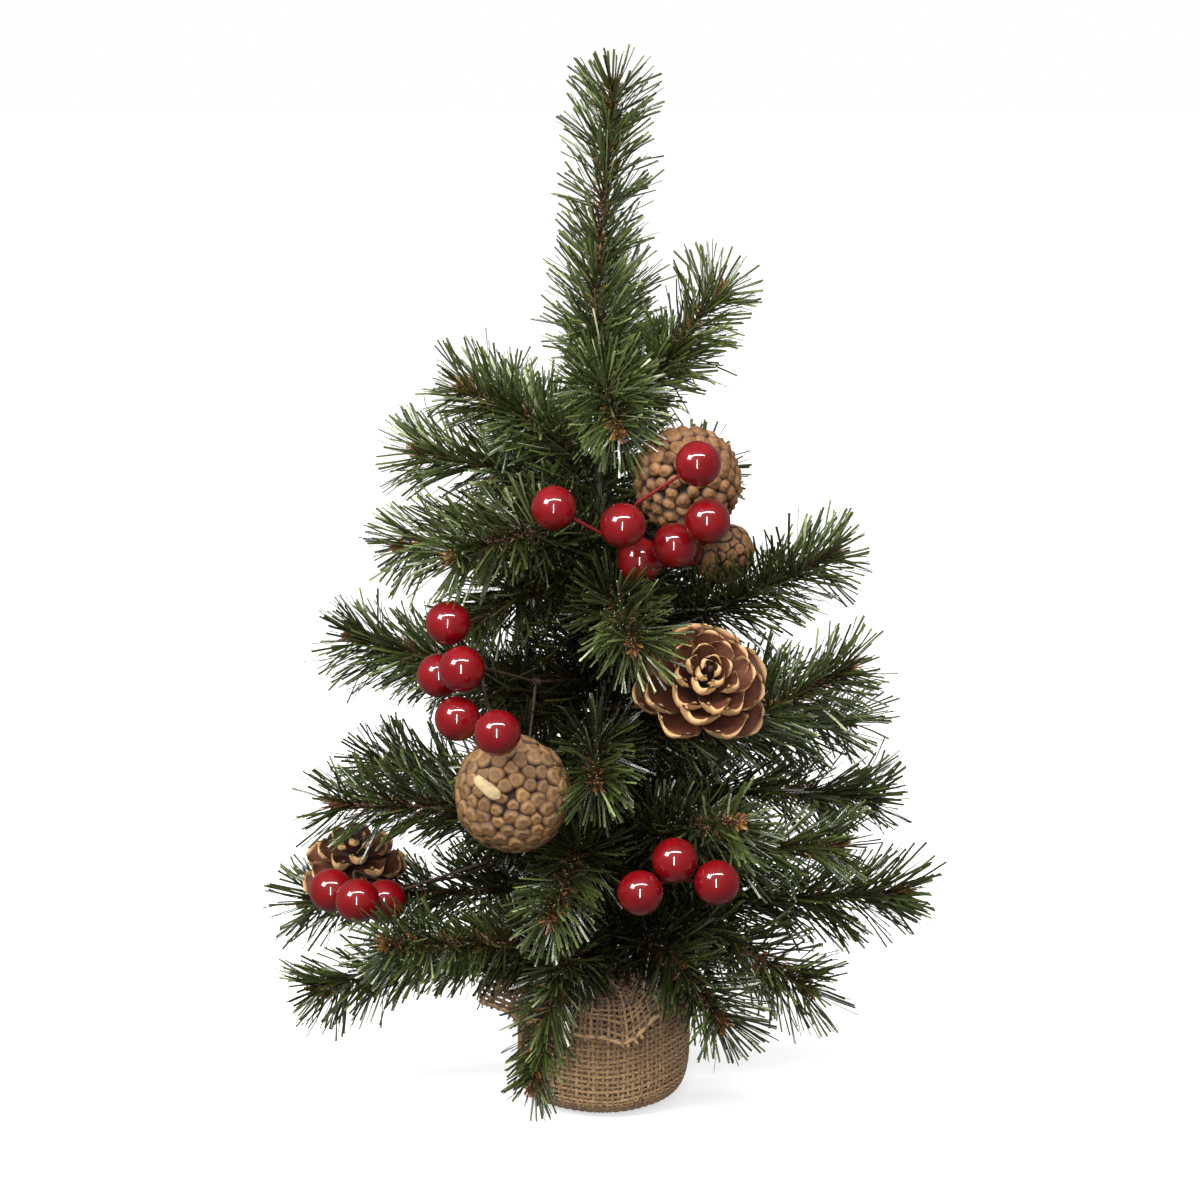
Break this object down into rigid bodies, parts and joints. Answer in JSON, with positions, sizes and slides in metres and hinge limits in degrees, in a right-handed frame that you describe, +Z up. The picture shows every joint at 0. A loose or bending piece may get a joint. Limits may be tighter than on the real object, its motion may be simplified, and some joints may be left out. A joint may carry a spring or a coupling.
{
  "type": "artificial tabletop tree",
  "caption": "Small tabletop conifer of bendable needle branches on a taped trunk, with red berries and pine cones, standing in a burlap sack with a cast weight.",
  "frame": {"origin": "centre of the sack's flat underside, on the surface that the tree stands on", "axes": "+Z up along the trunk, -Y the front"},
  "size_m": [0.2772, 0.2363, 0.4408],
  "materials": {
    "needles": "satin",
    "branch_wire": "matte",
    "berry_stem": "matte",
    "berry": "gloss",
    "pine_cone": "matte",
    "cement": "matte",
    "cup": "matte",
    "burlap": "matte",
    "jute": "matte",
    "trunk_steel": "satin",
    "trunk_tape": "matte"
  },
  "bodies": {
    "trunk": {"base_weight": "cement", "base_cup": "cup", "burlap_sack": "burlap", "neck_tie": "jute", "trunk_rod": "trunk_steel", "trunk_tape": "trunk_tape"},
    "crown": {"crown_wire": "branch_wire", "crown_needles": "needles"},
    "left_top": {"left_top_wire": "branch_wire", "left_top_needles": "needles"},
    "left_high": {"left_high_wire": "branch_wire", "left_high_needles": "needles"},
    "left_front": {"left_front_wire": "branch_wire", "left_front_needles": "needles"},
    "right_high": {"right_high_wire": "branch_wire", "right_high_needles": "needles"},
    "front_high": {"front_high_wire": "branch_wire", "front_high_needles": "needles"},
    "back_high": {"back_high_wire": "branch_wire", "back_high_needles": "needles"},
    "right_mid": {"right_mid_wire": "branch_wire", "right_mid_needles": "needles"},
    "left_mid": {"left_mid_wire": "branch_wire", "left_mid_needles": "needles"},
    "front_mid": {"front_mid_wire": "branch_wire", "front_mid_needles": "needles"},
    "right_low": {"right_low_wire": "branch_wire", "right_low_needles": "needles"},
    "front_right": {"front_right_wire": "branch_wire", "front_right_needles": "needles"},
    "left_low": {"left_low_wire": "branch_wire", "left_low_needles": "needles"},
    "back_mid": {"back_mid_wire": "branch_wire", "back_mid_needles": "needles"},
    "front_low": {"front_low_wire": "branch_wire", "front_low_needles": "needles"},
    "right_base": {"right_base_wire": "branch_wire", "right_base_needles": "needles"},
    "back_left": {"back_left_wire": "branch_wire", "back_left_needles": "needles"},
    "right_front": {"right_front_wire": "branch_wire", "right_front_needles": "needles"},
    "front_base": {"front_base_wire": "branch_wire", "front_base_needles": "needles"},
    "left_base": {"left_base_wire": "branch_wire", "left_base_needles": "needles"},
    "pick_top": {"pick_top_stems": "berry_stem", "pick_top_berries": "berry"},
    "pick_left": {"pick_left_stems": "berry_stem", "pick_left_berries": "berry"},
    "pick_right": {"pick_right_stems": "berry_stem", "pick_right_berries": "berry"},
    "pick_far": {"pick_far_stems": "berry_stem", "pick_far_berries": "berry"},
    "pick_open": {"pick_open_stems": "berry_stem"},
    "cone_top": {"cone_top": "pine_cone"},
    "cone_front": {"cone_front": "pine_cone"},
    "cone_open": {"cone_open": "pine_cone"},
    "cone_left": {"cone_left": "pine_cone"},
    "cone_back": {"cone_back": "pine_cone"}
  },
  "joints": [
    {"name": "left_top_bend", "type": "hinge", "parent": "trunk", "child": "left_top", "pos_m": [-0.00587, -0.00125, 0.272], "axis": [-0.2079, 0.9781, 0], "range_deg": [-35, 30]},
    {"name": "left_high_bend", "type": "hinge", "parent": "trunk", "child": "left_high", "pos_m": [-0.00497, 0.00335, 0.254], "axis": [0.5592, 0.829, 0], "range_deg": [-35, 28]},
    {"name": "left_front_bend", "type": "hinge", "parent": "trunk", "child": "left_front", "pos_m": [-0.00531, -0.00279, 0.236], "axis": [-0.4648, 0.8854, 0], "range_deg": [-6, 14]},
    {"name": "right_high_bend", "type": "hinge", "parent": "trunk", "child": "right_high", "pos_m": [0.00582, 0.00145, 0.205], "axis": [0.2419, -0.9703, 0], "range_deg": [-30, 5]},
    {"name": "front_high_bend", "type": "hinge", "parent": "trunk", "child": "front_high", "pos_m": [0.00084, -0.00594, 0.196], "axis": [-0.9903, -0.1392, 0], "range_deg": [-8, 6]},
    {"name": "back_high_bend", "type": "hinge", "parent": "trunk", "child": "back_high", "pos_m": [0.00125, 0.00587, 0.222], "axis": [0.9781, -0.2079, 0], "range_deg": [-35, 25]},
    {"name": "right_mid_bend", "type": "hinge", "parent": "trunk", "child": "right_mid", "pos_m": [0.00583, 0.0014, 0.16], "axis": [0.2334, -0.9724, 0], "range_deg": [-24, 28]},
    {"name": "left_mid_bend", "type": "hinge", "parent": "trunk", "child": "left_mid", "pos_m": [-0.00556, 0.00225, 0.165], "axis": [0.3746, 0.9272, 0], "range_deg": [-28, 24]},
    {"name": "front_mid_bend", "type": "hinge", "parent": "trunk", "child": "front_mid", "pos_m": [-0.003, -0.0052, 0.138], "axis": [-0.866, 0.5, 0], "range_deg": [-10, 25]},
    {"name": "right_low_bend", "type": "hinge", "parent": "trunk", "child": "right_low", "pos_m": [0.00509, 0.00318, 0.128], "axis": [0.5299, -0.848, 0], "range_deg": [-32, 30]},
    {"name": "front_right_bend", "type": "hinge", "parent": "trunk", "child": "front_right", "pos_m": [0.00494, -0.0034, 0.105], "axis": [-0.5664, -0.8241, 0], "range_deg": [-35, 14]},
    {"name": "left_low_bend", "type": "hinge", "parent": "trunk", "child": "left_low", "pos_m": [-0.00592, 0.00099, 0.112], "axis": [0.165, 0.9863, 0], "range_deg": [-7, 20]},
    {"name": "back_mid_bend", "type": "hinge", "parent": "trunk", "child": "back_mid", "pos_m": [0.00084, 0.00594, 0.118], "axis": [0.9903, -0.1392, 0], "range_deg": [-35, 30]},
    {"name": "front_low_bend", "type": "hinge", "parent": "trunk", "child": "front_low", "pos_m": [-0.00135, -0.00585, 0.098], "axis": [-0.9744, 0.225, 0], "range_deg": [-28, 8]},
    {"name": "right_base_bend", "type": "hinge", "parent": "trunk", "child": "right_base", "pos_m": [0.00506, 0.00322, 0.075], "axis": [0.5373, -0.8434, 0], "range_deg": [-30, 30]},
    {"name": "back_left_bend", "type": "hinge", "parent": "trunk", "child": "back_left", "pos_m": [-0.00473, 0.00369, 0.085], "axis": [0.6157, 0.788, 0], "range_deg": [-26, 24]},
    {"name": "right_front_bend", "type": "hinge", "parent": "trunk", "child": "right_front", "pos_m": [0.00435, -0.00413, 0.072], "axis": [-0.6884, -0.7254, 0], "range_deg": [-18, 26]},
    {"name": "front_base_bend", "type": "hinge", "parent": "trunk", "child": "front_base", "pos_m": [-0.00205, -0.00564, 0.066], "axis": [-0.9397, 0.342, 0], "range_deg": [-10, 36]},
    {"name": "left_base_bend", "type": "hinge", "parent": "trunk", "child": "left_base", "pos_m": [-0.0056, -0.00215, 0.064], "axis": [-0.3584, 0.9336, 0], "range_deg": [-8, 8]},
    {"name": "crown_bend", "type": "hinge", "parent": "trunk", "child": "crown", "pos_m": [0, 0, 0.292], "axis": [0, 1, 0], "range_deg": [-8, 8]},
    {"name": "pick_top_bend", "type": "hinge", "parent": "front_high", "child": "pick_top", "pos_m": [0.0025, -0.0176, 0.2098], "axis": [-0.8619, -0.507, 0], "range_deg": [-4, 4]},
    {"name": "pick_left_bend", "type": "hinge", "parent": "trunk", "child": "pick_left", "pos_m": [-0.004, -0.0045, 0.184], "axis": [-0.6743, 0.7385, 0], "range_deg": [-8, 8]},
    {"name": "pick_right_bend", "type": "hinge", "parent": "trunk", "child": "pick_right", "pos_m": [0.0019, -0.0057, 0.09], "axis": [-0.8503, -0.5264, 0], "range_deg": [-12, 8]},
    {"name": "pick_far_bend", "type": "hinge", "parent": "left_low", "child": "pick_far", "pos_m": [-0.019, 0, 0.114], "axis": [-0.3714, 0.9285, 0], "range_deg": [-6, 12]},
    {"name": "pick_open_bend", "type": "hinge", "parent": "trunk", "child": "pick_open", "pos_m": [0.003, -0.0052, 0.172], "axis": [-0.8944, -0.4472, 0], "range_deg": [-12, 6]},
    {"name": "cone_top_tilt", "type": "hinge", "parent": "pick_top", "child": "cone_top", "pos_m": [0.04308, -0.00628, 0.2799], "axis": [-0.9507, 0.31, 0], "range_deg": [-3, 6]},
    {"name": "cone_front_tilt", "type": "hinge", "parent": "pick_left", "child": "cone_front", "pos_m": [-0.03245, -0.04679, 0.14763], "axis": [-0.9885, 0.1513, 0], "range_deg": [-6, 6]},
    {"name": "cone_open_tilt", "type": "hinge", "parent": "pick_open", "child": "cone_open", "pos_m": [0.03802, -0.05434, 0.18326], "axis": [-0.9981, -0.0624, 0], "range_deg": [-8, 8]},
    {"name": "cone_left_tilt", "type": "hinge", "parent": "pick_far", "child": "cone_left", "pos_m": [-0.10778, 0.01688, 0.08991], "axis": [-0.9806, -0.1961, 0], "range_deg": [-8, 8]},
    {"name": "cone_back_tilt", "type": "hinge", "parent": "right_high", "child": "cone_back", "pos_m": [0.0456, 0.01321, 0.2424], "axis": [-0.9487, -0.3162, 0], "range_deg": [-8, 8]}
  ]
}
